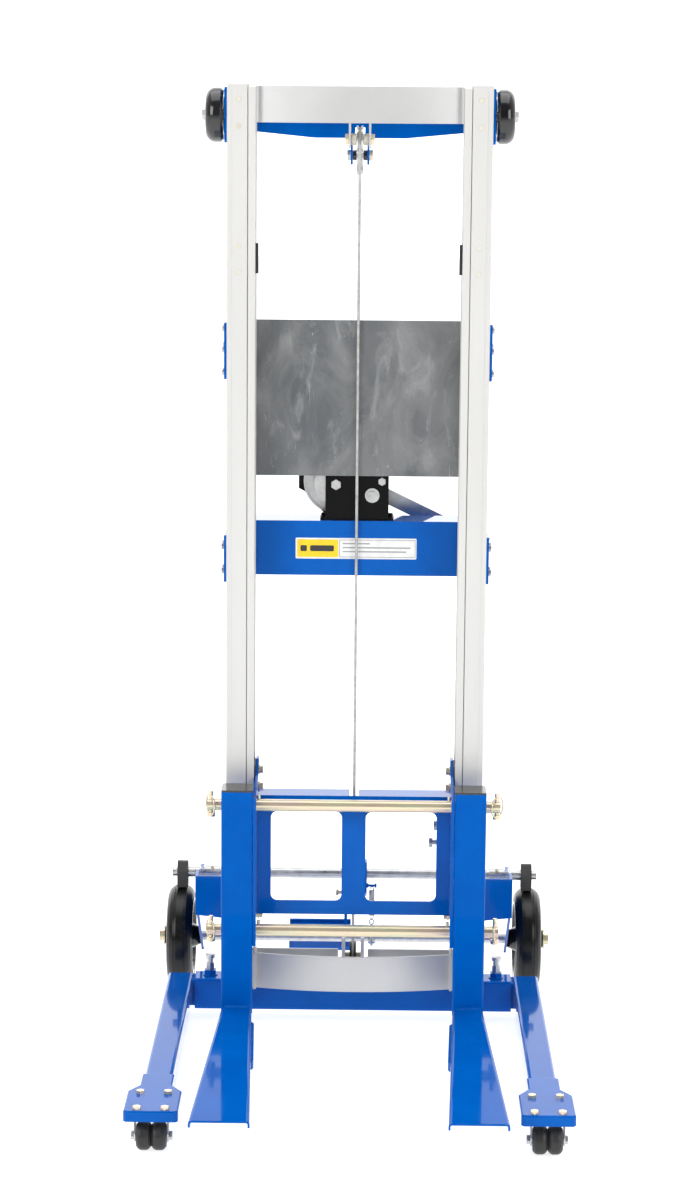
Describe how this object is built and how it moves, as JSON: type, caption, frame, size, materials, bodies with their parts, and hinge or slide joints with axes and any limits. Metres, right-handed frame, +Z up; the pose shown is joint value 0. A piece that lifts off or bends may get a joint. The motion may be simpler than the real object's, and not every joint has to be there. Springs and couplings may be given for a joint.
{
  "type": "drywall lift",
  "caption": "Hand-winch material lift: a nested aluminium mast raises a carriage with two fork blades, on a base with side legs, swivel casters, rear wheels and a foot brake.",
  "frame": {"origin": "centre of the footprint at floor level", "axes": "+Z up, forks point to -Y, winch and rear wheels to +Y, +X is the right side seen from the fork end"},
  "size_m": [0.778, 1.1832, 1.784],
  "materials": {
    "rail_aluminium": "satin anodised",
    "sheet_aluminium": "scratched mill finish",
    "blue_paint": "gloss powder coat",
    "silver_paint": "silver hammertone",
    "zinc_yellow": "yellow zinc plate",
    "zinc_clear": "clear zinc plate",
    "wire_rope": "galvanised strand",
    "cream_nylon": "moulded",
    "black_nylon": "moulded",
    "black_gloss": "glossy moulded",
    "black_paint": "gloss black",
    "grip_plastic": "moulded grip",
    "grey_rim": "moulded",
    "tyre_rubber": "semi-pneumatic",
    "shoe_rubber": "matt"
  },
  "bodies": {
    "base": {"mast_rail_L": "rail_aluminium", "mast_rail_R": "rail_aluminium", "glide_pads": "cream_nylon", "side_plates_L": "blue_paint", "side_plates_R": "blue_paint", "winch_beam": "blue_paint", "rear_cross": "blue_paint", "guard_plate": "sheet_aluminium", "top_plate": "blue_paint", "frame_fasteners": "zinc_clear", "rope_winch": "wire_rope", "rope_outer": "wire_rope", "base_beam": "blue_paint", "axle_bracket_L": "blue_paint", "axle_bracket_R": "blue_paint", "axle": "zinc_clear", "winch_frame": "black_paint", "brake_spring": "zinc_clear"},
    "mast": {"inner_rail_L": "rail_aluminium", "inner_rail_R": "rail_aluminium", "inner_pads": "black_nylon", "inner_top_beam": "silver_paint", "inner_foot": "silver_paint", "inner_bolts": "zinc_yellow", "rope_inner": "wire_rope", "rope_carriage": "wire_rope"},
    "carriage": {"carriage_plate": "blue_paint", "carriage_side_L": "blue_paint", "carriage_side_R": "blue_paint", "carriage_slides": "black_nylon", "carriage_fasteners": "zinc_yellow", "fork_rods": "zinc_yellow", "fork_L": "blue_paint", "fork_R": "blue_paint", "fork_caps": "black_gloss"},
    "sheave_inner_top": {"sheave_inner_top": "zinc_clear"},
    "sheave_inner_low": {"sheave_inner_low": "black_nylon"},
    "sheave_outer_top": {"sheave_outer_top": "zinc_clear"},
    "drum": {"drum": "zinc_clear"},
    "crank": {"crank": "zinc_clear"},
    "crank_grip": {"crank_grip": "grip_plastic"},
    "brake": {"brake_shaft": "zinc_clear", "brake_pedal": "blue_paint", "brake_shoes": "shoe_rubber"},
    "wheel_L": {"tyre_L": "tyre_rubber", "rim_L": "grey_rim"},
    "load_wheel_L": {"load_wheel_L": "black_gloss"},
    "leg_L": {"leg_L": "blue_paint", "caster_mount_L": "zinc_clear"},
    "caster_L": {"caster_fork_L": "zinc_clear"},
    "caster_wheels_L": {"caster_wheels_L": "black_nylon"},
    "plunger_L": {"plunger_L": "zinc_clear"},
    "wheel_R": {"tyre_R": "tyre_rubber", "rim_R": "grey_rim"},
    "load_wheel_R": {"load_wheel_R": "black_gloss"},
    "leg_R": {"leg_R": "blue_paint", "caster_mount_R": "zinc_clear"},
    "caster_R": {"caster_fork_R": "zinc_clear"},
    "caster_wheels_R": {"caster_wheels_R": "black_nylon"},
    "plunger_R": {"plunger_R": "zinc_clear"}
  },
  "joints": [
    {"name": "mast_lift", "type": "slide", "parent": "base", "child": "mast", "axis": [0, 0, 1], "range_m": [0, 1.27], "deforming": ["rope_outer"]},
    {"name": "carriage_lift", "type": "slide", "parent": "mast", "child": "carriage", "axis": [0, 0, 1], "range_m": [0, 0.9], "deforming": ["rope_carriage"]},
    {"name": "drum_turn", "type": "hinge", "parent": "base", "child": "drum", "pos_m": [-0.039, 0.233, 1.056], "axis": [0, 1, 0], "range_deg": [0, 1324]},
    {"name": "crank_turn", "type": "hinge", "parent": "base", "child": "crank", "pos_m": [0.028, 0.2, 1.036], "axis": [0, 1, 0], "range_deg": [-5479, 0]},
    {"name": "crank_grip_spin", "type": "hinge", "parent": "crank", "child": "crank_grip", "pos_m": [0.23472, 0.34, 0.93517], "axis": [0, 1, 0], "continuous": true},
    {"name": "sheave_outer_top_turn", "type": "hinge", "parent": "base", "child": "sheave_outer_top", "pos_m": [0, 0.207, 1.658], "axis": [1, 0, 0], "range_deg": [-1720, 0]},
    {"name": "sheave_inner_low_turn", "type": "hinge", "parent": "mast", "child": "sheave_inner_low", "pos_m": [0, 0.156, 0.165], "axis": [1, 0, 0], "range_deg": [0, 2457]},
    {"name": "sheave_inner_top_turn", "type": "hinge", "parent": "mast", "child": "sheave_inner_top", "pos_m": [0, 0.115, 1.688], "axis": [1, 0, 0], "range_deg": [-2580, 0]},
    {"name": "wheel_spin_L", "type": "hinge", "parent": "base", "child": "wheel_L", "pos_m": [-0.3455, 0.49, 0.1016], "axis": [1, 0, 0], "continuous": true},
    {"name": "load_wheel_spin_L", "type": "hinge", "parent": "base", "child": "load_wheel_L", "pos_m": [-0.2575, 0.155, 1.729], "axis": [1, 0, 0], "continuous": true},
    {"name": "leg_slide_L", "type": "slide", "parent": "base", "child": "leg_L", "axis": [-1, 0, 0], "range_m": [0, 0.12]},
    {"name": "caster_swivel_L", "type": "hinge", "parent": "leg_L", "child": "caster_L", "pos_m": [-0.3358, -0.42, 0.0717], "axis": [0, 0, 1], "continuous": true},
    {"name": "caster_spin_L", "type": "hinge", "parent": "caster_L", "child": "caster_wheels_L", "pos_m": [-0.3358, -0.442, 0.025], "axis": [1, 0, 0], "continuous": true},
    {"name": "plunger_pull_L", "type": "slide", "parent": "base", "child": "plunger_L", "axis": [0, 0, 1], "range_m": [0, 0.012], "stiffness_N_per_m": 300, "springref_m": -0.006},
    {"name": "wheel_spin_R", "type": "hinge", "parent": "base", "child": "wheel_R", "pos_m": [0.3455, 0.49, 0.1016], "axis": [1, 0, 0], "continuous": true},
    {"name": "load_wheel_spin_R", "type": "hinge", "parent": "base", "child": "load_wheel_R", "pos_m": [0.2575, 0.155, 1.729], "axis": [1, 0, 0], "continuous": true},
    {"name": "leg_slide_R", "type": "slide", "parent": "base", "child": "leg_R", "axis": [1, 0, 0], "range_m": [0, 0.12]},
    {"name": "caster_swivel_R", "type": "hinge", "parent": "leg_R", "child": "caster_R", "pos_m": [0.3358, -0.42, 0.0717], "axis": [0, 0, 1], "continuous": true},
    {"name": "caster_spin_R", "type": "hinge", "parent": "caster_R", "child": "caster_wheels_R", "pos_m": [0.3358, -0.442, 0.025], "axis": [1, 0, 0], "continuous": true},
    {"name": "plunger_pull_R", "type": "slide", "parent": "base", "child": "plunger_R", "axis": [0, 0, 1], "range_m": [0, 0.012], "stiffness_N_per_m": 300, "springref_m": -0.006},
    {"name": "brake_press", "type": "hinge", "parent": "base", "child": "brake", "pos_m": [0, 0.49, 0.233], "axis": [-1, 0, 0], "range_deg": [0, 7], "stiffness_Nm_per_rad": 6, "springref_deg": -20.05, "deforming": ["brake_spring"]}
  ],
  "couplings": [
    {"joint": "drum_turn", "follows": "carriage_lift", "rad_per_m": 25.641},
    {"joint": "crank_turn", "follows": "carriage_lift", "rad_per_m": -106.23},
    {"joint": "sheave_outer_top_turn", "follows": "carriage_lift", "rad_per_m": -33.333},
    {"joint": "sheave_inner_low_turn", "follows": "carriage_lift", "rad_per_m": 47.619},
    {"joint": "sheave_inner_top_turn", "follows": "carriage_lift", "rad_per_m": -50}
  ]
}
